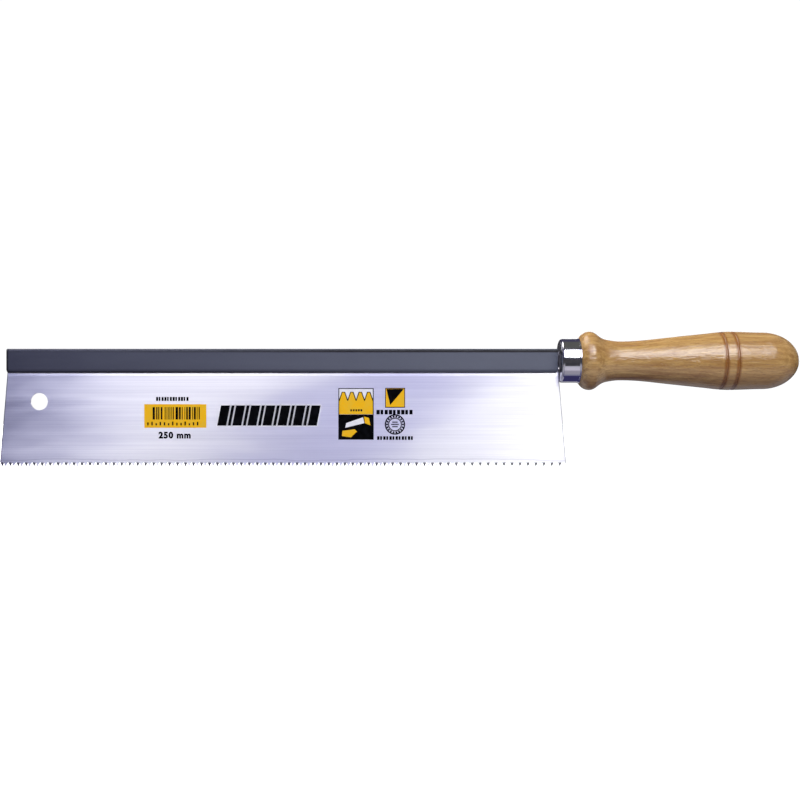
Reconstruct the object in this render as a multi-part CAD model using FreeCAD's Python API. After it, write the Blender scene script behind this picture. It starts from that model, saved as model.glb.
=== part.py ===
# Gent's back saw: a thin toothed steel blade held by its top edge in a folded steel back,
# with a flat tang that runs from the back through a plated ferrule into a turned beech handle.
#
# Frame, in millimetres: +X runs from the toe of the blade to the butt of the handle, +Z is up
# with the teeth pointing down, and Y = 0 is the blade's middle plane. The origin is at the
# bottom centre of the whole saw: the tooth tips are at Z = 0 and the ends of the saw at
# X = plus and minus half its length.
#
# While it is being worked out, every X is measured from the tooth at the toe, and every piece
# is moved by half the overall length when it is written.
import FreeCAD, Part
import math
import os

# ---- blade ----
blade_length = 250.0        # along the toothed edge
blade_depth = 41.5          # from the tooth tips to the lower edge of the back
blade_thickness = 0.6
toe_slant = 3.3             # how far the front edge leans in over blade_depth
heel_slant = 3.4            # how far the rear edge leans in over blade_depth
grip_depth = 4.6            # how far the blade reaches up into the back
hang_hole_radius = 3.8
hang_hole_from_toe = 17.3
hang_hole_height = 28.8     # above the tooth tips

# ---- teeth: one row, set left and right in turn, ground with a bevel ----
tooth_pitch = 1.76          # wanted; the true pitch divides the blade evenly
tooth_height = 1.9
tooth_lean = 0.42           # where the tip stands along the pitch, from the toe side
tooth_set = 0.14            # how far a tip stands out of the blade's side
tooth_bevel = 0.22          # how much narrower a tooth is on its inner side, at each flank

# ---- folded back ----
back_height = 10.6
back_width = 3.8
back_sheet = 1.0            # thickness of the folded strip
back_toe_gap = 3.4          # from the tooth at the toe to the front end of the back
fold_radius = 1.2           # outer radius of the two bends along the top
curl_height = 1.3           # how far up the sides start to curl in towards the blade
curl_radius = 1.2
lip_width = 0.5             # the flat under each lip, beside the blade
lip_radius = 0.3
lip_grip = 1.2              # how far up each lip bears on the blade
back_toe_corner = 0.6       # rounded lower corner at the front end
back_heel_corner = 1.2      # rounded lower corner at the rear end

# ---- tang ----
tongue_length = 28.0        # the flat tongue that the back is closed on
neck_height = 6.0
neck_width = 3.4
tang_depth = 60.0           # how far the taper runs into the handle
tang_tip_height = 2.4
tang_tip_width = 1.6
tang_point = 2.5            # length of the point at the end of the taper

# ---- ferrule ----
ferrule_radius = 9.7
ferrule_wall = 0.8
ferrule_reach = 8.6         # from its front face to its rear edge
ferrule_corner = 1.2        # outer radius where the front face turns into the side
ferrule_hole_edge = 0.25
ferrule_flare = 0.3         # how far the rear edge is belled out
ferrule_flare_length = 1.0

# ---- handle, turned; every place is measured from the ferrule's rear edge ----
handle_length = 96.7
bulb_radius = 12.9
bulb_at = 4.5
waist_radius = 8.62
waist_at = 19.25
belly_radius = 12.88
belly_share = 0.6856        # where the belly stands along the handle
butt_radius = 12.5          # where the rounded butt begins
butt_stretch = 1.272        # how much longer the rounded butt is than its radius
nose_chamfer = 0.8
groove_places = (-4.5, 0.6)  # the two decorative grooves, from the belly
groove_depth = 0.5
groove_cutter = 0.55        # radius of the tool that turned them
# The run of each hollow curve, as shares of its length and of its change in radius.
cove_shape = ((0.185, 0.22), (0.366, 0.66), (0.637, 0.91))
taper_shape = ((0.167, 0.082), (0.389, 0.346), (0.833, 0.871))

# ---- clearances; the lips on the blade, the tongue in the back, the nose in the ferrule and
# the taper in the wood are all tight and have none ----
heel_gap = 0.06             # least gap between the blade's heel and the ferrule's face
neck_gap = 0.9              # gap between the back and the ferrule, where the neck shows
neck_hole_gap = 0.7         # from the neck's corners to the hole in the ferrule
bore_run_out = 2.0          # how much deeper than the tang its bore is
tongue_gap = 0.1            # between the tongue and the blade's top edge

# ---- places that follow from the sizes ----
tooth_count = round(blade_length / tooth_pitch)
true_pitch = blade_length / tooth_count
root_height = tooth_height
back_bottom = blade_depth
back_top = back_bottom + back_height
blade_top = back_bottom + grip_depth
cavity_gap = back_width - 2 * back_sheet
axis_height = back_bottom + back_height / 2
slant_height = blade_depth - root_height
FORWARD = FreeCAD.Vector(1, 0, 0)
ORIGIN = FreeCAD.Vector(0, 0, 0)


def toe_edge(z):
    """X of the blade's front edge at height z."""
    return toe_slant * (z - root_height) / slant_height


def heel_edge(z):
    """X of the blade's rear edge at height z."""
    return blade_length - heel_slant * (z - root_height) / slant_height


# The blade leans away from the ferrule, so it comes nearest where the face meets its corner.
ferrule_flat_radius = ferrule_radius - ferrule_corner
ferrule_front = heel_edge(min(axis_height - ferrule_flat_radius, blade_top)) + heel_gap
back_rear = ferrule_front - neck_gap
back_front = back_toe_gap
shoulder = ferrule_front + ferrule_reach
nose_front = ferrule_front + ferrule_wall
nose_radius = ferrule_radius - ferrule_wall
tang_end = nose_front + tang_depth
ferrule_hole_radius = math.hypot(neck_height / 2, neck_width / 2) + neck_hole_gap
neck_low = axis_height - neck_height / 2
neck_front = max(back_rear, heel_edge(neck_low) + heel_gap)
belly_at = belly_share * handle_length
butt_at = handle_length - butt_stretch * butt_radius
overall_length = shoulder + handle_length


# ---- drawing helpers ----
def rounded_face(corners, to_space):
    """A face whose outline runs through corners (u, v, radius), each turned by a tangent arc."""
    points = [FreeCAD.Vector(u, v, 0) for u, v, _ in corners]
    arcs = []
    for i, (_, _, radius) in enumerate(corners):
        here = points[i]
        back_way = (points[i - 1] - here).normalize()
        fore_way = (points[(i + 1) % len(points)] - here).normalize()
        if radius == 0:
            arcs.append((here, None, here))
            continue
        half = back_way.getAngle(fore_way) / 2
        run = radius / math.tan(half)
        middle = (back_way + fore_way).normalize() * (radius / math.sin(half) - radius)
        arcs.append((here + back_way * run, here + middle, here + fore_way * run))
    edges = []
    for i, (start, middle, end) in enumerate(arcs):
        if middle is not None:
            edges.append(Part.Arc(to_space(start), to_space(middle), to_space(end)).toShape())
        following = arcs[(i + 1) % len(arcs)][0]
        if (following - end).Length > 1e-6:
            edges.append(Part.makeLine(to_space(end), to_space(following)))
    return Part.Face(Part.Wire(edges))


def block(x0, x1, width, z0, z1):
    """A box from x0 to x1 and z0 to z1, centred on the blade's plane."""
    return Part.makeBox(x1 - x0, width, z1 - z0, FreeCAD.Vector(x0, -width / 2, z0))


def section_rectangle(x, width, height):
    """A rectangle across the handle's axis at x, as a closed wire."""
    corners = [(-1, -1), (1, -1), (1, 1), (-1, 1), (-1, -1)]
    return Part.makePolygon(
        [FreeCAD.Vector(x, a * width / 2, axis_height + b * height / 2) for a, b in corners]
    )


def turned(face):
    """The solid that a face drawn beside the X axis makes about the handle's axis."""
    solid = face.revolve(ORIGIN, FORWARD, 360)
    solid.translate(FreeCAD.Vector(0, 0, axis_height))
    return solid


def beside_axis(point):
    """A point drawn as (x, radius), placed in space."""
    return FreeCAD.Vector(point.x, 0, point.y)


# ---- blade ----
def tooth(x0, side):
    """One tooth: a wide triangle on the side it is set to, a narrower one on the other."""
    share = 1 - 2 * tooth_bevel / true_pitch
    half = blade_thickness / 2
    tip = x0 + tooth_lean * true_pitch
    inner_start = x0 + tooth_bevel
    inner_end = x0 + true_pitch - tooth_bevel
    inner_tip = inner_start + tooth_lean * (inner_end - inner_start)
    outer = [
        FreeCAD.Vector(x0, side * half, root_height),
        FreeCAD.Vector(x0 + true_pitch, side * half, root_height),
        FreeCAD.Vector(tip, side * (half + tooth_set), root_height - tooth_height),
    ]
    inner = [
        FreeCAD.Vector(inner_start, -side * half, root_height),
        FreeCAD.Vector(inner_end, -side * half, root_height),
        FreeCAD.Vector(
            inner_tip, side * (tooth_set * share - half), root_height - tooth_height * share
        ),
    ]
    faces = [Part.Face(Part.makePolygon(ring + ring[:1])) for ring in (outer, inner)]
    for i in range(3):
        j = (i + 1) % 3
        ring = [outer[i], outer[j], inner[j], inner[i], outer[i]]
        faces.append(Part.Face(Part.makePolygon(ring)))
    return Part.makeSolid(Part.makeShell(faces))


def make_blade():
    """The plate with its row of teeth and the hole it hangs by."""
    outline = [
        FreeCAD.Vector(toe_edge(root_height), -blade_thickness / 2, root_height),
        FreeCAD.Vector(heel_edge(root_height), -blade_thickness / 2, root_height),
        FreeCAD.Vector(heel_edge(blade_top), -blade_thickness / 2, blade_top),
        FreeCAD.Vector(toe_edge(blade_top), -blade_thickness / 2, blade_top),
    ]
    plate = Part.Face(Part.makePolygon(outline + outline[:1]))
    plate = plate.extrude(FreeCAD.Vector(0, blade_thickness, 0))
    hole = Part.makeCylinder(
        hang_hole_radius,
        3 * blade_thickness,
        FreeCAD.Vector(hang_hole_from_toe, -1.5 * blade_thickness, hang_hole_height),
        FreeCAD.Vector(0, 1, 0),
    )
    plate = plate.cut(hole)
    teeth = [tooth(i * true_pitch, -1 if i % 2 else 1) for i in range(tooth_count)]
    return plate.fuse(teeth)


# ---- folded back ----
def make_back():
    """A strip folded over the blade, closed on it along two lips, with rounded lower corners."""
    outer_side = back_width / 2
    inner_side = cavity_gap / 2
    lip_inner = blade_thickness / 2
    right_half = [
        (lip_inner, 0, 0),
        (lip_inner + lip_width, 0, lip_radius),
        (outer_side, curl_height, curl_radius),
        (outer_side, back_height, fold_radius),
    ]
    hollow = [
        (inner_side, back_height - back_sheet, inner_side),
        (inner_side, lip_grip + inner_side - lip_inner, 0),
        (lip_inner, lip_grip, 0),
    ]
    left_half = [(-y, z, radius) for y, z, radius in reversed(right_half)]
    left_hollow = [(-y, z, radius) for y, z, radius in reversed(hollow)]
    outline = right_half + left_half + left_hollow + hollow

    def across(point):
        return FreeCAD.Vector(back_front, point.x, back_bottom + point.y)

    strip = rounded_face(outline, across)
    strip = strip.extrude(FreeCAD.Vector(back_rear - back_front, 0, 0))

    def along(point):
        return FreeCAD.Vector(point.x, -back_width, point.y)

    side_view = [
        (back_front, back_bottom, back_toe_corner),
        (back_rear, back_bottom, back_heel_corner),
        (back_rear, back_top, 0),
        (back_front, back_top, 0),
    ]
    side = rounded_face(side_view, along).extrude(FreeCAD.Vector(0, 2 * back_width, 0))
    return strip.common(side)


# ---- tang ----
def make_tang():
    """A flat tongue held in the back, a neck, and a square taper that is driven into the handle."""
    tongue = block(
        back_rear - tongue_length,
        neck_front,
        cavity_gap,
        blade_top + tongue_gap,
        back_top - back_sheet - cavity_gap / 2,
    )
    neck = block(neck_front, nose_front, neck_width, neck_low, neck_low + neck_height)
    point_start = tang_end - tang_point
    root = section_rectangle(nose_front, neck_width, neck_height)
    slim = section_rectangle(point_start, tang_tip_width, tang_tip_height)
    end = section_rectangle(tang_end, tang_tip_width / 4, tang_tip_height / 4)
    taper = Part.makeLoft([root, slim], True, True)
    point = Part.makeLoft([slim, end], True, True)
    return tongue.fuse([neck, taper, point]).removeSplitter()


# ---- ferrule ----
def make_ferrule():
    """A drawn cup with a hole for the neck in its front and a belled rear edge."""
    front_inner = ferrule_front + ferrule_wall
    inner = ferrule_radius - ferrule_wall
    flare_start = shoulder - ferrule_flare_length
    profile = [
        (ferrule_front, ferrule_hole_radius, ferrule_hole_edge),
        (ferrule_front, ferrule_radius, ferrule_corner),
        (flare_start, ferrule_radius, 1.5),
        (shoulder, ferrule_radius + ferrule_flare, 0.2),
        (shoulder, inner + ferrule_flare, 0.2),
        (flare_start, inner, 1.5),
        (front_inner, inner, nose_chamfer),
        (front_inner, ferrule_hole_radius, ferrule_hole_edge),
    ]
    return turned(rounded_face(profile, beside_axis))


# ---- handle ----
def eased(start, finish, shape):
    """A curve from start to finish, level at both ends, through points given as shares of the way."""
    (x0, r0), (x1, r1) = start, finish
    shares = [(0, 0), *shape, (1, 1)]
    points = [FreeCAD.Vector(x0 + a * (x1 - x0), 0, r0 + b * (r1 - r0)) for a, b in shares]
    curve = Part.BSplineCurve()
    curve.interpolate(Points=points, InitialTangent=FORWARD, FinalTangent=FORWARD)
    return curve


def radius_on(curve, x):
    """Height of a curve above the axis at x."""
    low, high = curve.FirstParameter, curve.LastParameter
    for _ in range(50):
        middle = (low + high) / 2
        if curve.value(middle).x < x:
            low = middle
        else:
            high = middle
    return curve.value(low).z


def bulb_front(top, foot):
    """The arc from the foot of the bulb at the ferrule up to its top, where it runs level."""
    run = top.x - foot.x
    rise = top.z - foot.z
    radius = (run * run + rise * rise) / (2 * rise)
    half = math.atan2(run, radius - rise) / 2
    middle = FreeCAD.Vector(
        top.x - radius * math.sin(half), 0, top.z - radius * (1 - math.cos(half))
    )
    return Part.Arc(foot, middle, top)


def make_handle():
    """The turned handle with its nose, bulb, waist, two grooves, rounded butt and tang bore."""
    bulb = (shoulder + bulb_at, bulb_radius)
    waist = (shoulder + waist_at, waist_radius)
    belly = (shoulder + belly_at, belly_radius)
    butt = (shoulder + butt_at, butt_radius)
    cove = eased(bulb, waist, cove_shape)
    taper = eased(waist, belly, taper_shape)
    rear = eased(belly, butt, ((0.5, 0.5),))
    end = FreeCAD.Vector(overall_length, 0, 0)
    butt_top = FreeCAD.Vector(butt[0], 0, butt_radius)
    round_butt = Part.Ellipse(end, butt_top, FreeCAD.Vector(butt[0], 0, 0))
    nose_low = FreeCAD.Vector(nose_front, 0, 0)
    nose_face = FreeCAD.Vector(nose_front, 0, nose_radius - nose_chamfer)
    nose_side = FreeCAD.Vector(nose_front + nose_chamfer, 0, nose_radius)
    nose_rear = FreeCAD.Vector(shoulder, 0, nose_radius)
    foot = FreeCAD.Vector(shoulder, 0, ferrule_radius + ferrule_flare)
    edges = [
        Part.makeLine(nose_low, nose_face),
        Part.makeLine(nose_face, nose_side),
        Part.makeLine(nose_side, nose_rear),
        Part.makeLine(nose_rear, foot),
        bulb_front(FreeCAD.Vector(bulb[0], 0, bulb_radius), foot).toShape(),
        cove.toShape(),
        taper.toShape(),
        rear.toShape(),
        Part.ArcOfEllipse(round_butt, 0, math.pi / 2).toShape(),
        Part.makeLine(end, nose_low),
    ]
    profile = Part.Face(Part.Wire(Part.__sortEdges__(edges)))
    for place in groove_places:
        x = shoulder + belly_at + place
        surface = radius_on(taper if place < 0 else rear, x)
        centre = FreeCAD.Vector(x, 0, surface + groove_cutter - groove_depth)
        cutter = Part.Circle(centre, FreeCAD.Vector(0, 1, 0), groove_cutter)
        profile = profile.cut(Part.Face(Part.Wire(cutter.toShape())))
    return turned(profile.Faces[0]).cut(make_bore())


def make_bore():
    """The room that the driven tang takes in the wood, a little deeper than the tang."""
    point_start = tang_end - tang_point
    root = section_rectangle(nose_front, neck_width, neck_height)
    slim = section_rectangle(point_start, tang_tip_width, tang_tip_height)
    taper = Part.makeLoft([root, slim], True, True)
    end = block(
        point_start,
        tang_end + bore_run_out,
        tang_tip_width,
        axis_height - tang_tip_height / 2,
        axis_height + tang_tip_height / 2,
    )
    return taper.fuse(end)


# ---- write one file for each piece ----
pieces = {
    "blade": make_blade,
    "back": make_back,
    "tang": make_tang,
    "ferrule": make_ferrule,
    "handle": make_handle,
}

os.makedirs("parts", exist_ok=True)
for name, make in pieces.items():
    shape = make()
    solid = shape.Solids[0]
    if len(shape.Solids) != 1 or not solid.isValid():
        raise SystemExit(f"{name} is not one valid solid")
    solid.translate(FreeCAD.Vector(-overall_length / 2, 0, 0))
    solid.exportStep(f"parts/{name}.step")
    print(name, "volume", round(solid.Volume, 1), "mm3")
print("overall length", round(overall_length, 2), "teeth", tooth_count)
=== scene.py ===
import math

import bmesh
import bpy
from mathutils import Matrix, Vector


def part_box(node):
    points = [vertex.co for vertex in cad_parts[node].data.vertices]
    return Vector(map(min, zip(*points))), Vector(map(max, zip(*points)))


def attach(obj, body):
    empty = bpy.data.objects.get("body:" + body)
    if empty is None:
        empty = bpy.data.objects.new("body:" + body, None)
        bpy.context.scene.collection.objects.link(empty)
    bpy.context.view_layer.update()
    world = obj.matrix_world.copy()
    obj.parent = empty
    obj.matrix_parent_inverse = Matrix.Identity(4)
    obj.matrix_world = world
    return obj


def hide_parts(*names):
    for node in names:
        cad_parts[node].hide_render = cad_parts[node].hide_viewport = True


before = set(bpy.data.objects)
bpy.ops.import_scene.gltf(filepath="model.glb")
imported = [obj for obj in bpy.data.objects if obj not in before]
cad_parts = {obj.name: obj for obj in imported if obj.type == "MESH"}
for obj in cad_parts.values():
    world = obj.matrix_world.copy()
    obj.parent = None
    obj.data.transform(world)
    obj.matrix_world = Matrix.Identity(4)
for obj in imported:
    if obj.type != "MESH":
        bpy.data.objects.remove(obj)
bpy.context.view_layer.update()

MM = 0.001

blade_low, blade_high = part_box("blade")
back_low, back_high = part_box("back")
ferrule_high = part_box("ferrule")[1]
handle_low, handle_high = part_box("handle")
axis_height = (handle_low.z + handle_high.z) / 2
groove_places = [ferrule_high.x + behind for behind in (61.8 * MM, 66.9 * MM)]
toe, heel = blade_low.x, blade_high.x
TOOTH_PITCH, TOOTH_HEIGHT = 1.76 * MM, 1.9 * MM
TEETH = round((heel - toe) / TOOTH_PITCH)
TOE_LEAN, HEEL_LEAN = 3.3 / 39.6, 3.4 / 39.6    # how far each end steps in for its rise
PLATE_TWIST = 1.75              # how much the plate's face turns for each metre up it
TWIST_LEVEL = 22.0 * MM         # the height at which the twisted plate still stands upright
TWIST_START, TWIST_FULL = -0.14, -0.08
BLADE_FACE = -0.3 * MM          # the side that carries the ink; the set teeth stand out past it


# ---------------------------------------------------------------- node helpers
def link_or_set(tree, socket, value):
    """Gives a socket a link when value is a socket, and a plain value otherwise."""
    if isinstance(value, bpy.types.NodeSocket):
        tree.links.new(value, socket)
    else:
        socket.default_value = value


def add_node(tree, kind, inputs=None, **settings):
    """Adds a node, sets its properties, and links or sets its named inputs."""
    node = tree.nodes.new(kind)
    for name, value in settings.items():
        setattr(node, name, value)
    for name, value in (inputs or {}).items():
        link_or_set(tree, node.inputs[name], value)
    return node


def maths(tree, operation, a, b=0.0):
    """A Math node's output."""
    return add_node(tree, "ShaderNodeMath", {0: a, 1: b}, operation=operation).outputs[0]


def times_plus(tree, value, factor, rest):
    """value times factor, plus rest."""
    inputs = {0: value, 1: factor, 2: rest}
    return add_node(tree, "ShaderNodeMath", inputs, operation="MULTIPLY_ADD").outputs[0]


def remap(tree, value, low, high, to_low, to_high, smooth=False):
    """value's run from low to high, moved to to_low to to_high and held at its ends."""
    node = add_node(
        tree,
        "ShaderNodeMapRange",
        {"Value": value, "From Min": low, "From Max": high, "To Min": to_low, "To Max": to_high},
        interpolation_type="SMOOTHSTEP" if smooth else "LINEAR",
    )
    return node.outputs["Result"]


def blend_colours(tree, amount, first, second):
    """Two colours mixed by amount, from the first at 0 to the second at 1."""
    node = add_node(tree, "ShaderNodeMix", data_type="RGBA")
    link_or_set(tree, node.inputs[0], amount)
    link_or_set(tree, node.inputs[6], first)
    link_or_set(tree, node.inputs[7], second)
    return node.outputs[2]


def stretched(tree, vector, scale):
    """A vector with each part multiplied, which sets how fine a pattern is along each axis."""
    node = add_node(tree, "ShaderNodeVectorMath", {0: vector, 1: scale}, operation="MULTIPLY")
    return node.outputs[0]


def noise(tree, vector, scale, detail=3.0, roughness=0.5, distortion=0.0):
    """A Noise node's value."""
    node = add_node(
        tree,
        "ShaderNodeTexNoise",
        {
            "Vector": vector,
            "Scale": scale,
            "Detail": detail,
            "Roughness": roughness,
            "Distortion": distortion,
        },
    )
    return node.outputs["Fac"]


def new_group(name, inputs, outputs):
    """A shader node group with the named sockets, and its input and output nodes."""
    group = bpy.data.node_groups.new(name, "ShaderNodeTree")
    for in_out, sockets in (("INPUT", inputs), ("OUTPUT", outputs)):
        for label, kind, value in sockets:
            socket = group.interface.new_socket(label, in_out=in_out, socket_type=kind)
            if value is not None:
                socket.default_value = value
    return group, group.nodes.new("NodeGroupInput"), group.nodes.new("NodeGroupOutput")


def use_group(tree, group, **values):
    """Places a group in a material. Names have underscores where the sockets have spaces."""
    node = tree.nodes.new("ShaderNodeGroup")
    node.node_tree = group
    for name, value in values.items():
        link_or_set(tree, node.inputs[name.replace("_", " ")], value)
    return node


FLOAT, VECTOR = "NodeSocketFloat", "NodeSocketVector"


# ---------------------------------------------------------------- shared effects
def make_brushed_lines():
    """Fine lines along X, as a belt or brush leaves them, with slower streaks between them."""
    group, given, result = new_group(
        "brushed_lines",
        [("Vector", VECTOR, None), ("Lines Per Metre", FLOAT, 2600.0), ("Run", FLOAT, 14.0)],
        [("Lines", FLOAT, None), ("Streaks", FLOAT, None)],
    )
    across = given.outputs["Lines Per Metre"]
    along = given.outputs["Run"]
    fine_scale = add_node(group, "ShaderNodeCombineXYZ", {"X": along, "Y": across, "Z": across})
    fine = stretched(group, given.outputs["Vector"], fine_scale.outputs[0])
    slow_across = maths(group, "MULTIPLY", across, 0.085)
    slow_along = maths(group, "MULTIPLY", along, 0.55)
    slow_scale = add_node(
        group, "ShaderNodeCombineXYZ", {"X": slow_along, "Y": slow_across, "Z": slow_across}
    )
    slow = stretched(group, given.outputs["Vector"], slow_scale.outputs[0])
    lines = noise(group, fine, 1.0, 2.0, 0.6)
    streaks = noise(group, slow, 1.0, 4.0, 0.62)
    group.links.new(lines, result.inputs["Lines"])
    group.links.new(streaks, result.inputs["Streaks"])
    return group


def make_handling_marks():
    """Soft patches where a surface has been held or wiped, and small specks of dust."""
    group, given, result = new_group(
        "handling_marks",
        [("Vector", VECTOR, None), ("Patches Per Metre", FLOAT, 40.0)],
        [("Patches", FLOAT, None), ("Specks", FLOAT, None)],
    )
    place, per_metre = given.outputs["Vector"], given.outputs["Patches Per Metre"]
    patches = noise(group, place, per_metre, 4.0, 0.6, 0.6)
    soft = remap(group, patches, 0.38, 0.68, 0.0, 1.0, smooth=True)
    speck_scale = maths(group, "MULTIPLY", per_metre, 22.0)
    speck = add_node(group, "ShaderNodeTexVoronoi", {"Vector": place, "Scale": speck_scale})
    specks = remap(group, speck.outputs["Distance"], 0.10, 0.04, 0.0, 1.0, smooth=True)
    group.links.new(soft, result.inputs["Patches"])
    group.links.new(specks, result.inputs["Specks"])
    return group


brushed_lines = make_brushed_lines()
handling_marks = make_handling_marks()


# ---------------------------------------------------------------- finishes
def start_material(name, **shader_values):
    """A material with a Principled shader whose plain values are set here. Returns its parts."""
    material = bpy.data.materials.new(name)
    material.use_nodes = True
    tree = material.node_tree
    shader = tree.nodes["Principled BSDF"]
    for label, value in shader_values.items():
        shader.inputs[label.replace("_", " ")].default_value = value
    place = tree.nodes.new("ShaderNodeTexCoord").outputs["Object"]
    return material, tree, shader, place


def bump(tree, shader, height, strength, distance, facing=None):
    """A Bump node from height into the shader's Normal, laid over facing where one is given."""
    node = add_node(
        tree, "ShaderNodeBump", {"Height": height, "Strength": strength, "Distance": distance}
    )
    if facing:
        tree.links.new(facing, node.inputs["Normal"])
    tree.links.new(node.outputs["Normal"], shader.inputs["Normal"])


def tooth_shade(tree, parts):
    """Painted shade: soft dark spots over every second tooth; on each side, the teeth that lean to
    the other.
    """
    spot_height, half_wide, half_tall = 1.05 * MM, 0.85 * MM, 1.25 * MM
    first_middle = toe + (heel - toe - (TEETH - 1) * TOOTH_PITCH) / 2
    near_side = maths(tree, "LESS_THAN", parts.outputs["Y"], 0.0)
    shifted = times_plus(tree, near_side, TOOTH_PITCH, parts.outputs["X"])
    turns = maths(tree, "DIVIDE", maths(tree, "SUBTRACT", shifted, first_middle), 2 * TOOTH_PITCH)
    beside = maths(tree, "SUBTRACT", maths(tree, "FRACT", turns), 0.5)
    sideways = maths(tree, "MULTIPLY", beside, 2 * TOOTH_PITCH / half_wide)
    upward = maths(tree, "SUBTRACT", parts.outputs["Z"], spot_height)
    upward = maths(tree, "DIVIDE", upward, half_tall)
    off_middle = maths(
        tree, "ADD", maths(tree, "POWER", sideways, 2.0), maths(tree, "POWER", upward, 2.0)
    )
    return remap(tree, off_middle, 1.0, 0.15, 0.0, 0.75, smooth=True)


def make_blade_steel():
    """Bright steel brushed along its length, never quite flat, with hardened teeth and cut ends,
    painted shade on every second tooth and inside the back, a painted highlight under the back and
    a painted dark reflection along each end.
    """
    material, tree, shader, place = start_material(
        "blade_steel_brushed", Metallic=1.0, Anisotropic=1.0
    )
    parts = add_node(tree, "ShaderNodeSeparateXYZ", {"Vector": place})
    along, across, height = (parts.outputs[axis] for axis in "XYZ")
    brushing = use_group(tree, brushed_lines, Vector=place, Lines_Per_Metre=2400.0, Run=11.0)
    marks = use_group(tree, handling_marks, Vector=place, Patches_Per_Metre=22.0)
    streaks = remap(tree, brushing.outputs["Streaks"], 0.3, 0.7, 0.0, 1.0)
    plain = blend_colours(tree, streaks, (0.80, 0.80, 0.85, 1), (0.91, 0.91, 0.94, 1))
    lined = blend_colours(
        tree,
        remap(tree, brushing.outputs["Lines"], 0.35, 0.62, 0.30, 0.0),
        plain,
        (0.66, 0.66, 0.74, 1),
    )
    # The hardened zone ends in a faint uneven line, and the points between the set are blue. Every
    # second tooth also gets painted shade from tooth_shade.
    hardened_to = 3.5 * MM
    rise = times_plus(tree, marks.outputs["Patches"], 0.9 * MM, height)
    off_line = maths(tree, "ABSOLUTE", maths(tree, "SUBTRACT", rise, hardened_to))
    zone_line = remap(tree, off_line, 0.34 * MM, 0.08 * MM, 0.0, 0.28, smooth=True)
    zoned = blend_colours(tree, zone_line, lined, (0.33, 0.32, 0.40, 1))
    low = remap(tree, height, 2.1 * MM, 1.6 * MM, 0.0, 1.0, smooth=True)
    off_centre = maths(tree, "ABSOLUTE", across)
    inside = remap(tree, off_centre, 0.294 * MM, 0.26 * MM, 0.0, 0.85, smooth=True)
    # away holds the blue points and the painted shade of the teeth that lean away.
    away = maths(tree, "MAXIMUM", maths(tree, "MULTIPLY", low, inside), tooth_shade(tree, parts))
    blued_and_painted_light = blend_colours(tree, away, zoned, (0.035, 0.033, 0.060, 1))
    # A painted highlight makes the strip under the back brighter. Inside the back the plate gets
    # painted shade, nearly black.
    strip_under_back = remap(tree, height, back_low.z - 1.5 * MM, back_low.z - 0.9 * MM, 0.0, 1.0, smooth=True)
    blued_and_painted_light = blend_colours(tree, maths(tree, "MULTIPLY", strip_under_back, 0.9), blued_and_painted_light, (1.0, 1.0, 1.0, 1))
    painted_shade_in_back = remap(tree, height, back_low.z + 0.1 * MM, back_low.z + 0.5 * MM, 0.0, 0.95)
    blued_and_painted_light = blend_colours(tree, painted_shade_in_back, blued_and_painted_light, (0.015, 0.015, 0.02, 1))
    # Painted reflection: a dark line along each end edge, where the cut edge would reflect the dark
    # room.
    above_root = maths(tree, "SUBTRACT", height, TOOTH_HEIGHT)
    toe_line = times_plus(tree, above_root, -TOE_LEAN, maths(tree, "SUBTRACT", along, toe))
    heel_line = times_plus(tree, above_root, -HEEL_LEAN, maths(tree, "SUBTRACT", heel, along))
    end = maths(tree, "MINIMUM", toe_line, heel_line)
    painted_edge_reflection = remap(tree, end, 0.50 * MM, 0.20 * MM, 0.0, 0.75, smooth=True)
    colour = blend_colours(tree, painted_edge_reflection, blued_and_painted_light, (0.10, 0.10, 0.13, 1))
    tree.links.new(colour, shader.inputs["Base Color"])
    rough = times_plus(tree, brushing.outputs["Lines"], 0.12, 0.26)
    rough = times_plus(tree, streaks, 0.02, rough)
    tree.links.new(rough, shader.inputs["Roughness"])
    upright = add_node(tree, "ShaderNodeTangent", direction_type="UV_MAP", uv_map="upright")
    tree.links.new(upright.outputs[0], shader.inputs["Tangent"])
    # A rolled plate has a little twist and some long shallow waves, and the back's grip bends the
    # strip under it a little upwards.
    twist = maths(tree, "MULTIPLY", maths(tree, "SUBTRACT", height, TWIST_LEVEL), -PLATE_TWIST)
    past_start = remap(tree, along, TWIST_START, TWIST_FULL, 0.0, 1.0, smooth=True)
    twist = maths(tree, "MULTIPLY", twist, past_start)
    waves = noise(tree, stretched(tree, place, (16.0, 16.0, 75.0)), 1.0, 3.0, 0.55, 0.4)
    sway = maths(tree, "ADD", twist, remap(tree, waves, 0.3, 0.7, -0.022, 0.022))
    lift = maths(tree, "MULTIPLY", strip_under_back, 0.09)
    tilt = add_node(tree, "ShaderNodeCombineXYZ", {"X": sway, "Y": 0.0, "Z": lift})
    facing = tree.nodes.new("ShaderNodeNewGeometry").outputs["Normal"]
    warped = add_node(
        tree, "ShaderNodeVectorMath", {0: facing, 1: tilt.outputs[0]}, operation="ADD"
    )
    even = add_node(tree, "ShaderNodeVectorMath", {0: warped.outputs[0]}, operation="NORMALIZE")
    bump(tree, shader, brushing.outputs["Lines"], 0.05, 0.02 * MM, even.outputs[0])
    return material


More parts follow.
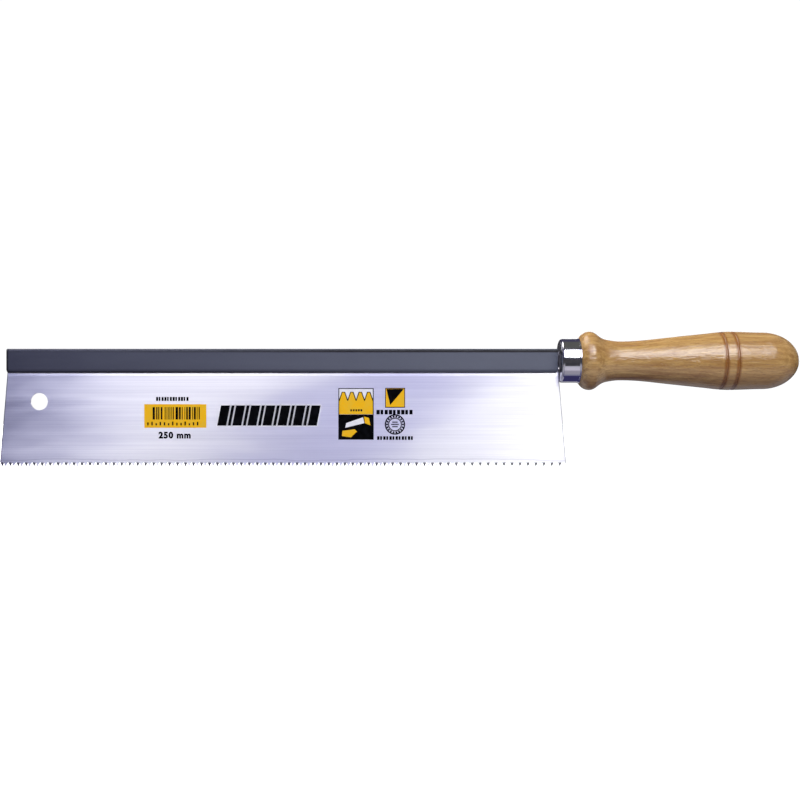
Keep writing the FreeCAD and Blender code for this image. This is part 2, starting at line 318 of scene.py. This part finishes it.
def make_back_paint():
    """Slate grey satin enamel over folded steel, with painted shade towards the toe, in the lip,
    along the top fold and at the toe end.
    """
    material, tree, shader, place = start_material(
        "slate_satin_enamel", Coat_Roughness=0.25, Coat_IOR=1.4, Specular_IOR_Level=0.3
    )
    parts = add_node(tree, "ShaderNodeSeparateXYZ", {"Vector": place})
    along, height = parts.outputs["X"], parts.outputs["Z"]
    marks = use_group(tree, handling_marks, Vector=place, Patches_Per_Metre=55.0)
    streaked = use_group(tree, brushed_lines, Vector=place, Lines_Per_Metre=1500.0, Run=22.0)
    heelward = remap(tree, along, back_low.x, back_high.x - 30 * MM, 0.0, 1.0)
    # Painted shade: the paint runs from dark at the toe to lighter towards the heel.
    base = blend_colours(tree, heelward, (0.040, 0.043, 0.070, 1), (0.125, 0.138, 0.170, 1))
    streaky = blend_colours(
        tree,
        remap(tree, streaked.outputs["Streaks"], 0.3, 0.7, 0.0, 0.14),
        base,
        (0.15, 0.165, 0.21, 1),
    )
    dust = maths(tree, "MULTIPLY", marks.outputs["Specks"], 0.2)
    dusty = blend_colours(tree, dust, streaky, (0.3, 0.31, 0.33, 1))
    # Painted shade darkens the lip, most at the toe, the top fold, most at the heel, and the toe
    # end.
    lip = remap(tree, height, back_low.z + 0.75 * MM, back_low.z + 0.35 * MM, 0.0, 1.0, smooth=True)
    lip = maths(tree, "MULTIPLY", lip, remap(tree, heelward, 0.2, 1.0, 0.85, 0.1))
    fold_off = maths(tree, "ABSOLUTE", maths(tree, "SUBTRACT", height, back_high.z - 1.0 * MM))
    fold = remap(tree, fold_off, 0.85 * MM, 0.45 * MM, 0.0, 1.0, smooth=True)
    fold = maths(tree, "MULTIPLY", fold, remap(tree, heelward, 0.1, 0.7, 0.12, 0.97))
    end = remap(tree, along, back_low.x + 1.1 * MM, back_low.x + 0.6 * MM, 0.0, 0.8, smooth=True)
    painted_edge_shade = maths(tree, "MAXIMUM", maths(tree, "MAXIMUM", lip, fold), end)
    colour = blend_colours(tree, painted_edge_shade, dusty, (0.006, 0.006, 0.009, 1))
    tree.links.new(colour, shader.inputs["Base Color"])
    tree.links.new(
        remap(tree, marks.outputs["Patches"], 0.0, 1.0, 0.42, 0.55), shader.inputs["Roughness"]
    )
    tree.links.new(
        remap(tree, marks.outputs["Patches"], 0.0, 1.0, 0.08, 0.03), shader.inputs["Coat Weight"]
    )
    peel = noise(tree, place, 900.0, 2.0, 0.5)
    bump(tree, shader, peel, 0.12, 0.03 * MM)
    return material


def make_tang_steel():
    """Plain drawn steel, slightly dull."""
    material, tree, shader, place = start_material("tang_steel_drawn", Metallic=1.0)
    brushing = use_group(tree, brushed_lines, Vector=place, Lines_Per_Metre=1600.0, Run=60.0)
    marks = use_group(tree, handling_marks, Vector=place, Patches_Per_Metre=120.0)
    colour = blend_colours(
        tree, marks.outputs["Patches"], (0.34, 0.34, 0.35, 1), (0.20, 0.20, 0.21, 1)
    )
    tree.links.new(colour, shader.inputs["Base Color"])
    tree.links.new(
        remap(tree, brushing.outputs["Lines"], 0.3, 0.7, 0.36, 0.55), shader.inputs["Roughness"]
    )
    bump(tree, shader, brushing.outputs["Lines"], 0.2, 0.02 * MM)
    return material


def make_ferrule_plating():
    """Bright nickel plating with faint wiping marks."""
    material, tree, shader, place = start_material("nickel_plating", Metallic=1.0)
    polishing = noise(tree, stretched(tree, place, (3000.0, 60.0, 60.0)), 1.0, 2.0, 0.6)
    marks = use_group(tree, handling_marks, Vector=place, Patches_Per_Metre=150.0)
    colour = blend_colours(
        tree, marks.outputs["Patches"], (0.80, 0.80, 0.83, 1), (0.74, 0.74, 0.78, 1)
    )
    colour = blend_colours(
        tree, maths(tree, "MULTIPLY", marks.outputs["Specks"], 0.3), colour, (0.5, 0.5, 0.52, 1)
    )
    tree.links.new(colour, shader.inputs["Base Color"])
    rough = times_plus(tree, marks.outputs["Patches"], 0.06, 0.05)
    rough = maths(tree, "ADD", rough, remap(tree, polishing, 0.3, 0.7, 0.0, 0.05))
    tree.links.new(rough, shader.inputs["Roughness"])
    bump(tree, shader, polishing, 0.05, 0.01 * MM)
    return material


def make_handle_wood():
    """Lacquered beech: long soft figure, fine pores and short darker flecks along the grain."""
    material, tree, shader, place = start_material(
        "lacquered_beech", Coat_Roughness=0.12, Coat_IOR=1.5, Specular_IOR_Level=1.0
    )
    parts = add_node(tree, "ShaderNodeSeparateXYZ", {"Vector": place})
    # Growth layers: flat sheets through the blank, bent slowly along its length.
    sway = noise(tree, stretched(tree, place, (9.0, 26.0, 26.0)), 1.0, 2.0, 0.5)
    slanted = times_plus(tree, parts.outputs["Y"], 0.45, parts.outputs["Z"])
    depth = times_plus(tree, sway, 0.020, slanted)
    wave = maths(tree, "SINE", maths(tree, "MULTIPLY", depth, 2100.0))
    layers = remap(tree, wave, -1.0, 1.0, 0.0, 1.0)
    fibres = noise(tree, stretched(tree, place, (42.0, 1100.0, 1100.0)), 1.0, 3.0, 0.65)
    slow = noise(tree, stretched(tree, place, (11.0, 75.0, 75.0)), 1.0, 3.0, 0.55)
    fleck_place = stretched(tree, place, (260.0, 2400.0, 2400.0))
    fleck_cells = add_node(tree, "ShaderNodeTexVoronoi", {"Vector": fleck_place, "Scale": 1.0})
    flecks = remap(tree, fleck_cells.outputs["Distance"], 0.30, 0.12, 0.0, 1.0, smooth=True)

    base = blend_colours(
        tree,
        remap(tree, slow, 0.35, 0.65, 0.0, 1.0),
        (0.57, 0.338, 0.102, 1),
        (0.73, 0.482, 0.172, 1),
    )
    layered = blend_colours(
        tree, maths(tree, "MULTIPLY", layers, 0.32), base, (0.36, 0.165, 0.045, 1)
    )
    figure = noise(tree, stretched(tree, place, (24.0, 380.0, 380.0)), 1.0, 3.0, 0.6, 0.3)
    figure = remap(tree, figure, 0.50, 0.66, 0.0, 0.42, smooth=True)
    figured = blend_colours(tree, figure, layered, (0.34, 0.155, 0.04, 1))
    grained = blend_colours(
        tree, remap(tree, fibres, 0.36, 0.60, 0.50, 0.0), figured, (0.29, 0.13, 0.036, 1)
    )
    flecked = blend_colours(
        tree, maths(tree, "MULTIPLY", flecks, 0.50), grained, (0.21, 0.08, 0.022, 1)
    )
    # The two turned grooves are burnt darker by the tool.
    burnt = None
    for groove in groove_places:
        away = maths(tree, "ABSOLUTE", maths(tree, "SUBTRACT", parts.outputs["X"], groove))
        band = remap(tree, away, 1.55 * MM, 0.60 * MM, 0.0, 1.0, smooth=True)
        burnt = band if burnt is None else maths(tree, "MAXIMUM", burnt, band)
    grooved = blend_colours(
        tree, maths(tree, "MULTIPLY", burnt, 0.85), flecked, (0.30, 0.115, 0.018, 1)
    )
    # The end grain round the tang, inside the ferrule, is bare, and painted shade makes it nearly
    # black.
    inside = remap(
        tree, parts.outputs["X"], handle_low.x + 0.6 * MM, handle_low.x + 0.1 * MM, 0.0, 0.9
    )
    colour = blend_colours(tree, inside, grooved, (0.035, 0.022, 0.014, 1))
    tree.links.new(colour, shader.inputs["Base Color"])
    tree.links.new(remap(tree, fibres, 0.3, 0.7, 0.28, 0.14), shader.inputs["Roughness"])
    marks = use_group(tree, handling_marks, Vector=place, Patches_Per_Metre=60.0)
    tree.links.new(
        remap(tree, marks.outputs["Patches"], 0.0, 1.0, 0.10, 0.0), shader.inputs["Coat Weight"]
    )
    ripples = noise(tree, stretched(tree, place, (420.0, 700.0, 700.0)), 1.0, 2.0, 0.5)
    relief = times_plus(tree, fibres, 0.8, ripples)
    bump(tree, shader, relief, 1.0, 0.21 * MM)
    return material


def make_ink(name, thin, thick, roughness, gloss):
    """Screen-printed ink, a little uneven, so its colour drifts between thin and thick."""
    material, tree, shader, place = start_material(name, Specular_IOR_Level=gloss)
    marks = use_group(tree, handling_marks, Vector=place, Patches_Per_Metre=300.0)
    lines = use_group(tree, brushed_lines, Vector=place, Lines_Per_Metre=2400.0, Run=11.0)
    laid = blend_colours(tree, marks.outputs["Patches"], thick, thin)
    colour = blend_colours(
        tree, remap(tree, lines.outputs["Lines"], 0.3, 0.45, 0.25, 0.0), laid, thin
    )
    tree.links.new(colour, shader.inputs["Base Color"])
    tree.links.new(
        remap(tree, marks.outputs["Patches"], 0.0, 1.0, roughness, roughness + 0.12),
        shader.inputs["Roughness"],
    )
    bump(tree, shader, lines.outputs["Lines"], 0.08, 0.01 * MM)
    return material


blade_steel = make_blade_steel()
back_paint = make_back_paint()
tang_steel = make_tang_steel()
ferrule_plating = make_ferrule_plating()
handle_wood = make_handle_wood()
black_ink = make_ink(
    "black_ink",
    thin=(0.0045, 0.0045, 0.006, 1),
    thick=(0.001, 0.001, 0.0015, 1),
    roughness=0.55,
    gloss=0.02,
)
yellow_ink = make_ink(
    "yellow_ink",
    thin=(0.93, 0.55, 0.030, 1),
    thick=(0.99, 0.54, 0.008, 1),
    roughness=0.50,
    gloss=0.10,
)
white_ink = make_ink(
    "white_ink",
    thin=(0.84, 0.84, 0.85, 1),
    thick=(0.92, 0.92, 0.92, 1),
    roughness=0.45,
    gloss=0.12,
)

for node, material in (
    ("back", back_paint),
    ("tang", tang_steel),
    ("ferrule", ferrule_plating),
    ("handle", handle_wood),
):
    for material_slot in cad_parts[node].material_slots:
        material_slot.material = material


# ---------------------------------------------------------------- mesh helpers
def new_piece(name, mesh_maker, material):
    """An object at the origin from a filled bmesh, riding on the saw."""
    mesh = bpy.data.meshes.new(name)
    mesh_maker.to_mesh(mesh)
    mesh_maker.free()
    piece = bpy.data.objects.new(name, mesh)
    bpy.context.scene.collection.objects.link(piece)
    mesh.materials.append(material)
    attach(piece, "root")
    return piece


# ---------------------------------------------------------------- blade
def make_blade():
    """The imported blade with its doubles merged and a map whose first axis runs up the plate,
    so that the shader knows which way the brushing lies."""
    shape = bmesh.new()
    shape.from_mesh(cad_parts["blade"].data)
    bmesh.ops.remove_doubles(shape, verts=shape.verts, dist=0.0005 * MM)
    upright = shape.loops.layers.uv.new("upright")
    for face in shape.faces:
        for loop in face.loops:
            loop[upright].uv = (loop.vert.co.z, loop.vert.co.x)
        face.smooth = False
        face.material_index = 0
    piece = new_piece("blade_plate", shape, blade_steel)
    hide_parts("blade")


make_blade()


# ---------------------------------------------------------------- printed marks
INK_FILM = 0.02 * MM            # how far each film of ink stands out of what is under it


class Ink:
    """One colour of ink: flat shapes on the blade's face, given in millimetres from the tooth
    at the toe and up from the tooth points, and raised by so many films."""

    def __init__(self, films):
        self.shape = bmesh.new()
        self.films = films

    def polygon(self, corners):
        """A straight-sided patch through the corners."""
        y = BLADE_FACE - (self.films - 1) * INK_FILM
        verts = [self.shape.verts.new((toe + x * MM, y, z * MM)) for x, z in corners]
        self.raise_face(self.shape.faces.new(verts))

    def raise_face(self, face):
        """Gives a flat face the thickness of the film, with its outside turned outwards."""
        face.normal_update()
        if face.normal.y > 0:
            face.normal_flip()
        raised = bmesh.ops.extrude_face_region(self.shape, geom=[face])
        moved = [v for v in raised["geom"] if isinstance(v, bmesh.types.BMVert)]
        bmesh.ops.translate(self.shape, vec=(0, -INK_FILM, 0), verts=moved)

    def bar(self, x0, z0, x1, z1, slant=0.0):
        """A rectangle, or with a slant a parallelogram whose top stands further along."""
        self.polygon([(x0, z0), (x1, z0), (x1 + slant, z1), (x0 + slant, z1)])

    def ring(self, x, z, outer, inner, segments=48):
        """A flat ring, made as a run of short blocks."""
        for i in range(segments):
            a, b = (2 * math.pi * (i + k) / segments for k in (0, 1))
            self.polygon(
                [
                    (x + inner * math.cos(a), z + inner * math.sin(a)),
                    (x + outer * math.cos(a), z + outer * math.sin(a)),
                    (x + outer * math.cos(b), z + outer * math.sin(b)),
                    (x + inner * math.cos(b), z + inner * math.sin(b)),
                ]
            )

    def finish(self, name, material):
        """Merges the doubles and makes the piece."""
        bmesh.ops.remove_doubles(self.shape, verts=self.shape.verts, dist=0.0001 * MM)
        bmesh.ops.recalc_face_normals(self.shape, faces=self.shape.faces)
        new_piece(name, self.shape, material)


def print_panel(yellow, black):
    """A yellow panel with a plain run of bars and a row of short ticks under them."""
    yellow.bar(63.7, 17.25, 91.1, 27.65)
    start, end = 67.4, 88.2
    widths = (11, 6, 5, 8, 4, 3, 3, 4, 3, 5, 12, 9, 4, 3, 8, 10, 4, 9, 3, 5)
    gaps = (6, 4, 7, 11, 5, 4, 4, 5, 4, 8, 4, 5, 9, 5, 4, 7, 4, 5, 6, 0)
    unit = (end - start) / (sum(widths) + sum(gaps))
    for width, gap in zip(widths, gaps):
        black.bar(start, 20.9, start + width * unit, 26.4)
        start += (width + gap) * unit
    for i in range(13):
        left = 65.0 + i * 1.83
        black.bar(left, 18.3, left + 0.62, 19.6 + 0.4 * math.sin(i * 2.3))


def print_long_mark(white, black):
    """A band of slanted blocks, wide and narrow in turn, on a white ground."""
    start, slant, margin = 95.9, 1.7, 0.45
    for width in (4.0, 1.3) * 6 + (4.0,):
        white.bar(start - margin, 17.7, start + width + margin, 27.6, slant + 0.1)
        black.bar(start, 18.2, start + width, 27.1, slant)
        start += width + 0.68


def print_pictogram(white, black, tooth_yellow, fine_black, saw_white, saw_yellow):
    """A frame in two parts: a row of tooth points above, and a small saw on black below."""
    left, right, low, middle, high = 149.4, 165.0, 12.0, 23.1, 34.7
    rim, line = 0.4, 0.32
    root, peak = 29.1, 32.8
    white.bar(left, 23.2, right, high)
    black.bar(left, 34.4, right, 34.75)
    black.bar(left, middle, left + rim, high)
    black.bar(right - rim, middle, right, high)
    for outline, ink in ((line, black), (0.0, tooth_yellow)):
        ink.bar(left + rim, 23.2, right - rim, root + outline)
        for i in range(4):
            tooth_left, tooth_right = 149.95 + i * 3.72, 153.35 + i * 3.72
            ink.polygon(
                [
                    (tooth_left - outline, root + outline),
                    (tooth_right + outline, root + outline),
                    (tooth_right - 1.3 + outline, peak + outline),
                    (tooth_left + 1.3 - outline, peak + outline),
                ]
            )
    for i in range(5):
        fine_black.bar(154.7 + i * 1.12, 24.5, 155.45 + i * 1.12, 25.4)
    black.bar(left, low, right, middle)
    saw_white.polygon([(152.4, 17.2), (160.9, 19.3), (160.3, 21.9), (152.9, 19.3)])
    saw_yellow.polygon([(161.2, 19.2), (163.6, 18.3), (162.9, 21.6), (160.7, 22.2)])
    saw_yellow.polygon([(150.9, 13.6), (155.0, 13.0), (157.6, 15.6), (156.6, 16.6), (151.2, 15.9)])


def print_tooth_icon(black, tooth_yellow, fine_black):
    """A yellow square in a black frame, with one large tooth on it."""
    black.bar(170.05, 26.1, 178.85, 34.85)
    tooth_yellow.bar(170.4, 26.45, 178.5, 34.5)
    fine_black.polygon([(170.6, 34.4), (178.3, 34.4), (172.3, 27.3)])


def print_dashes(black):
    """Rows of short dashes, each row with its start, low edge, height, count, widths and step."""
    for start, low, tall, count, widths, step in (
        (166.2, 23.15, 2.0, 9, (1.5, 1.2, 1.4), 1.82),
        (166.5, 11.9, 1.6, 12, (1.05, 0.8), 1.36),
        (68.9, 29.1, 1.75, 12, (0.95, 0.7, 0.9), 1.22),
    ):
        for i in range(count):
            left = start + i * step
            black.bar(left, low, left + widths[i % len(widths)], low + tall)


def print_seal(black):
    """Two rings joined by spokes, round three short lines."""
    centre = Vector((174.4, 18.7))
    spokes, half_width = 18, 0.36
    black.ring(*centre, 4.5, 3.95)
    black.ring(*centre, 3.0, 2.6)
    for i in range(spokes):
        t = 2 * math.pi * i / spokes
        radial, side = Vector((math.cos(t), math.sin(t))), Vector((-math.sin(t), math.cos(t)))
        corners = [
            centre + radial * r + side * s * half_width
            for r, s in ((3.1, -1), (3.9, -1), (3.9, 1), (3.1, 1))
        ]
        black.polygon([tuple(corner) for corner in corners])
    for low, half in ((19.5, 1.2), (18.5, 1.7), (17.5, 1.2)):
        black.bar(centre.x - half, low, centre.x + half, low + 0.45)


def print_marks():
    """Every printed mark but the length, in pieces of one colour and one level each."""
    white, yellow, black = Ink(1), Ink(1), Ink(2)
    tooth_yellow, saw_white, saw_yellow, fine_black = Ink(3), Ink(3), Ink(3), Ink(4)
    print_panel(yellow, black)
    print_long_mark(white, black)
    print_pictogram(white, black, tooth_yellow, fine_black, saw_white, saw_yellow)
    print_tooth_icon(black, tooth_yellow, fine_black)
    print_dashes(black)
    print_seal(black)
    white.finish("ink_white_ground", white_ink)
    yellow.finish("ink_yellow_ground", yellow_ink)
    black.finish("ink_black", black_ink)
    tooth_yellow.finish("ink_yellow_teeth", yellow_ink)
    fine_black.finish("ink_black_details", black_ink)
    saw_white.finish("ink_white_saw", white_ink)
    saw_yellow.finish("ink_yellow_saw", yellow_ink)


def print_length():
    """The length of the blade in millimetres, in plain figures."""
    along, above, length = 70.0 * MM, 12.45 * MM, 14.2 * MM
    words = bpy.data.curves.new("length_figures", "FONT")
    words.body = "250 mm"
    words.size = 3.75 * MM
    words.offset = 0.20 * MM
    words.space_character = 1.16
    words.extrude = INK_FILM / 2
    words.resolution_u = 3
    holder = bpy.data.objects.new("length_figures", words)
    bpy.context.scene.collection.objects.link(holder)
    bpy.context.view_layer.update()
    flat = bpy.data.meshes.new_from_object(holder)
    bpy.data.objects.remove(holder)
    shape = bmesh.new()
    shape.from_mesh(flat)
    bmesh.ops.remove_doubles(shape, verts=shape.verts, dist=0.0001 * MM)
    lowest = Vector((min(v.co[i] for v in shape.verts) for i in range(3)))
    width = max(v.co.x for v in shape.verts) - lowest.x
    place = (
        Matrix.Translation((toe + along, BLADE_FACE - INK_FILM / 2, above))
        @ Matrix.Rotation(math.radians(90), 4, "X")
        @ Matrix.Diagonal((length / width, 1.0, 1.0, 1.0))
        @ Matrix.Translation((-lowest.x, -lowest.y, 0))
    )
    bmesh.ops.transform(shape, matrix=place, verts=shape.verts)
    bmesh.ops.recalc_face_normals(shape, faces=shape.faces)
    new_piece("ink_length", shape, black_ink)


print_marks()
print_length()


# ---------------------------------------------------------------- studio
def card(name, corners, material, **seen_by):
    """A flat sheet of the studio, through four corners, turned to face the saw."""
    shape = bmesh.new()
    face = shape.faces.new([shape.verts.new(corner) for corner in corners])
    face.normal_update()
    if face.normal.dot(face.calc_center_median() - Vector((0, 0, axis_height))) > 0:
        face.normal_flip()
    mesh = bpy.data.meshes.new(name)
    shape.to_mesh(mesh)
    shape.free()
    mesh.materials.append(material)
    sheet = bpy.data.objects.new(name, mesh)
    bpy.context.scene.collection.objects.link(sheet)
    for ray, seen in seen_by.items():
        setattr(sheet, "visible_" + ray, seen)


def empty_tree(owner):
    """The node tree of a material or a world, with nothing in it."""
    owner.use_nodes = True
    owner.node_tree.nodes.clear()
    return owner.node_tree


def colour_run(tree, value, stops):
    """A colour that runs with value through stops of (value, colour)."""
    low, high = stops[0][0], stops[-1][0]
    ramp = tree.nodes.new("ShaderNodeValToRGB")
    tree.links.new(remap(tree, value, low, high, 0.0, 1.0), ramp.inputs[0])
    band = ramp.color_ramp
    for i, (at, colour) in enumerate(stops):
        position = (at - low) / (high - low)
        element = band.elements[i] if i < 2 else band.elements.new(position)
        element.position = position
        element.color = (*colour, 1)
    return ramp.outputs["Color"]


def glowing(name, strength, stops, axis="X"):
    """A light sheet whose colour changes along an axis through stops of (metres, colour)."""
    material = bpy.data.materials.new(name)
    tree = empty_tree(material)
    place = tree.nodes.new("ShaderNodeTexCoord").outputs["Object"]
    along = add_node(tree, "ShaderNodeSeparateXYZ", {"Vector": place}).outputs[axis]
    light = add_node(
        tree, "ShaderNodeEmission", {"Color": colour_run(tree, along, stops), "Strength": strength}
    )
    # Only the front of the sheet gives light.
    dark = add_node(tree, "ShaderNodeEmission", {"Color": (0, 0, 0, 1), "Strength": 0.0})
    behind = tree.nodes.new("ShaderNodeNewGeometry").outputs["Backfacing"]
    pick = add_node(
        tree, "ShaderNodeMixShader", {0: behind, 1: light.outputs[0], 2: dark.outputs[0]}
    )
    add_node(tree, "ShaderNodeOutputMaterial", {"Surface": pick.outputs[0]})
    return material


def make_floor():
    """A plain pale floor under the tooth points, bright enough to run into the backdrop."""
    material = bpy.data.materials.new("pale_floor")
    tree = empty_tree(material)
    matt = add_node(tree, "ShaderNodeBsdfDiffuse", {"Color": (0.9, 0.9, 0.9, 1)})
    lit = add_node(tree, "ShaderNodeEmission", {"Color": (1, 1, 1, 1), "Strength": 0.86})
    both = add_node(tree, "ShaderNodeAddShader", {0: matt.outputs[0], 1: lit.outputs[0]})
    add_node(tree, "ShaderNodeOutputMaterial", {"Surface": both.outputs[0]})
    side = 0.8
    corners = flat_card(-side, side, -side, side, -0.05 * MM)
    card("floor", corners, material, glossy=False, diffuse=False)


def make_world():
    """White to the camera. To every other ray, a dim room over a paler lavender table."""
    world = bpy.data.worlds.new("studio")
    bpy.context.scene.world = world
    tree = empty_tree(world)
    seen = add_node(tree, "ShaderNodeBackground", {"Color": (1, 1, 1, 1), "Strength": 1.05})
    way = tree.nodes.new("ShaderNodeTexCoord").outputs["Generated"]
    upward = add_node(tree, "ShaderNodeSeparateXYZ", {"Vector": way}).outputs["Z"]
    room_colours = (
        (-1.0, (0.04, 0.04, 0.11)),
        (-0.88, (0.16, 0.15, 0.24)),
        (-0.70, (0.40, 0.39, 0.45)),
        (-0.42, (0.41, 0.40, 0.46)),
        (-0.22, (0.07, 0.07, 0.08)),
        (0.0, (0.05, 0.048, 0.052)),
        (0.5, (0.06, 0.057, 0.105)),
        (0.85, (0.07, 0.066, 0.11)),
        (0.92, (0.11, 0.11, 0.105)),
        (1.0, (0.11, 0.11, 0.105)),
    )
    room = add_node(tree, "ShaderNodeBackground", {"Color": colour_run(tree, upward, room_colours)})
    to_camera = tree.nodes.new("ShaderNodeLightPath").outputs["Is Camera Ray"]
    pick = add_node(
        tree, "ShaderNodeMixShader", {0: to_camera, 1: room.outputs[0], 2: seen.outputs[0]}
    )
    add_node(tree, "ShaderNodeOutputWorld", {"Surface": pick.outputs[0]})


def arch(low, high, left, right, side=-1, distance=1.15):
    """The corners of a card that stands over the saw between two elevations, in front of the saw
    when side is -1 and behind it when side is 1."""
    bottom, top = (
        (side * distance * math.cos(angle), axis_height + distance * math.sin(angle))
        for angle in (math.radians(low), math.radians(high))
    )
    return [(left, *bottom), (left, *top), (right, *top), (right, *bottom)]


def flat_card(x0, x1, y0, y1, z=0.1 * MM):
    """The corners of a card that lies on the floor."""
    return [(x0, y0, z), (x1, y0, z), (x1, y1, z), (x0, y1, z)]


make_floor()
make_world()
hidden = {"camera": False, "shadow": False}
card(
    "softbox",
    arch(17.5, 56.0, -1.1, 1.1),
    glowing(
        "softbox_cloth",
        6.5,
        [
            (-1.10, (0.01, 0.01, 0.03)),
            (-0.70, (0.02, 0.02, 0.06)),
            (-0.61, (0.05, 0.06, 0.17)),
            (-0.53, (0.40, 0.40, 0.57)),
            (-0.447, (0.67, 0.67, 0.76)),
            (-0.33, (0.72, 0.71, 0.74)),
            (-0.24, (0.54, 0.54, 0.62)),
            (-0.17, (0.36, 0.36, 0.50)),
            (-0.11, (0.32, 0.32, 0.49)),
            (-0.01, (0.37, 0.37, 0.56)),
            (0.046, (0.42, 0.42, 0.58)),
            (0.103, (0.69, 0.69, 0.74)),
            (0.163, (0.88, 0.88, 0.90)),
            (0.25, (1.0, 1.0, 1.0)),
            (0.34, (1.0, 1.0, 1.0)),
            (0.52, (0.76, 0.74, 0.76)),
            (0.68, (0.48, 0.46, 0.48)),
            (0.90, (0.05, 0.05, 0.05)),
            (1.10, (0.02, 0.02, 0.02)),
        ],
    ),
    **hidden,
)
card(
    "rear_fill",
    arch(25.0, 80.0, -1.1, 1.1, side=1),
    glowing(
        "rear_fill_cloth",
        9.5,
        [
            (-1.10, (1.0, 1.0, 1.0)),
            (-0.30, (0.55, 0.55, 0.55)),
            (0.20, (0.12, 0.12, 0.12)),
            (1.10, (0.03, 0.03, 0.03)),
        ],
    ),
    glossy=False,
    **hidden,
)
for name, left, right in (("rear_softbox_left", -1.1, -0.38), ("rear_softbox_right", 0.12, 1.1)):
    card(
        name,
        arch(1.0, 15.0, left, right, side=1),
        glowing(name + "_cloth", 2.0, [(-1.1, (0.9, 0.9, 1.0)), (1.1, (1.0, 1.0, 1.0))]),
        diffuse=False,
        **hidden,
    )
card(
    "side_softbox",
    [(-0.75, -0.10, 0.85), (-0.20, -0.10, 1.10), (-0.10, 0.50, 0.95), (-0.60, 0.50, 0.70)],
    glowing("side_cloth", 3.0, [(-1.0, (1.0, 0.96, 1.0)), (0.0, (1.0, 0.96, 1.0))]),
    diffuse=False,
    **hidden,
)
card(
    "bounce_card",
    flat_card(0.068, 0.30, -0.25, -0.009),
    glowing(
        "bounce_cloth",
        0.68,
        [
            (-0.25, (0.07, 0.07, 0.08)),
            (-0.092, (0.07, 0.07, 0.08)),
            (-0.078, (0.80, 0.78, 0.90)),
            (-0.045, (0.90, 0.85, 1.0)),
            (-0.034, (0.50, 0.47, 0.56)),
            (-0.020, (0.48, 0.46, 0.55)),
            (-0.009, (0.25, 0.25, 0.40)),
        ],
        axis="Y",
    ),
    diffuse=False,
    **hidden,
)
# Painted shadow: the dark card stands for the handle's shadow on the table, and only reflections
# see it.
card(
    "dark_card",
    flat_card(0.073, 0.12, -0.009, 0.045),
    glowing("dark_cloth", 1.0, [(0.0, (0.04, 0.036, 0.115)), (0.2, (0.04, 0.036, 0.115))]),
    diffuse=False,
    **hidden,
)


# ---------------------------------------------------------------- camera
def make_camera():
    """Level and square to the blade, with the saw just filling the frame."""
    sideways, distance, height = 0.5 * MM, 445.0 * MM, 29.5 * MM
    data = bpy.data.cameras.new("camera")
    data.sensor_width, data.lens = 36.0, 45.32
    data.clip_start, data.clip_end = 0.02, 30.0
    camera = bpy.data.objects.new("camera", data)
    camera.location = (sideways, -distance, height)
    camera.rotation_euler = (math.radians(90), 0, 0)
    bpy.context.scene.collection.objects.link(camera)
    bpy.context.scene.camera = camera


make_camera()
bpy.context.scene.view_settings.view_transform = "Standard"
bpy.context.scene.view_settings.look = "None"
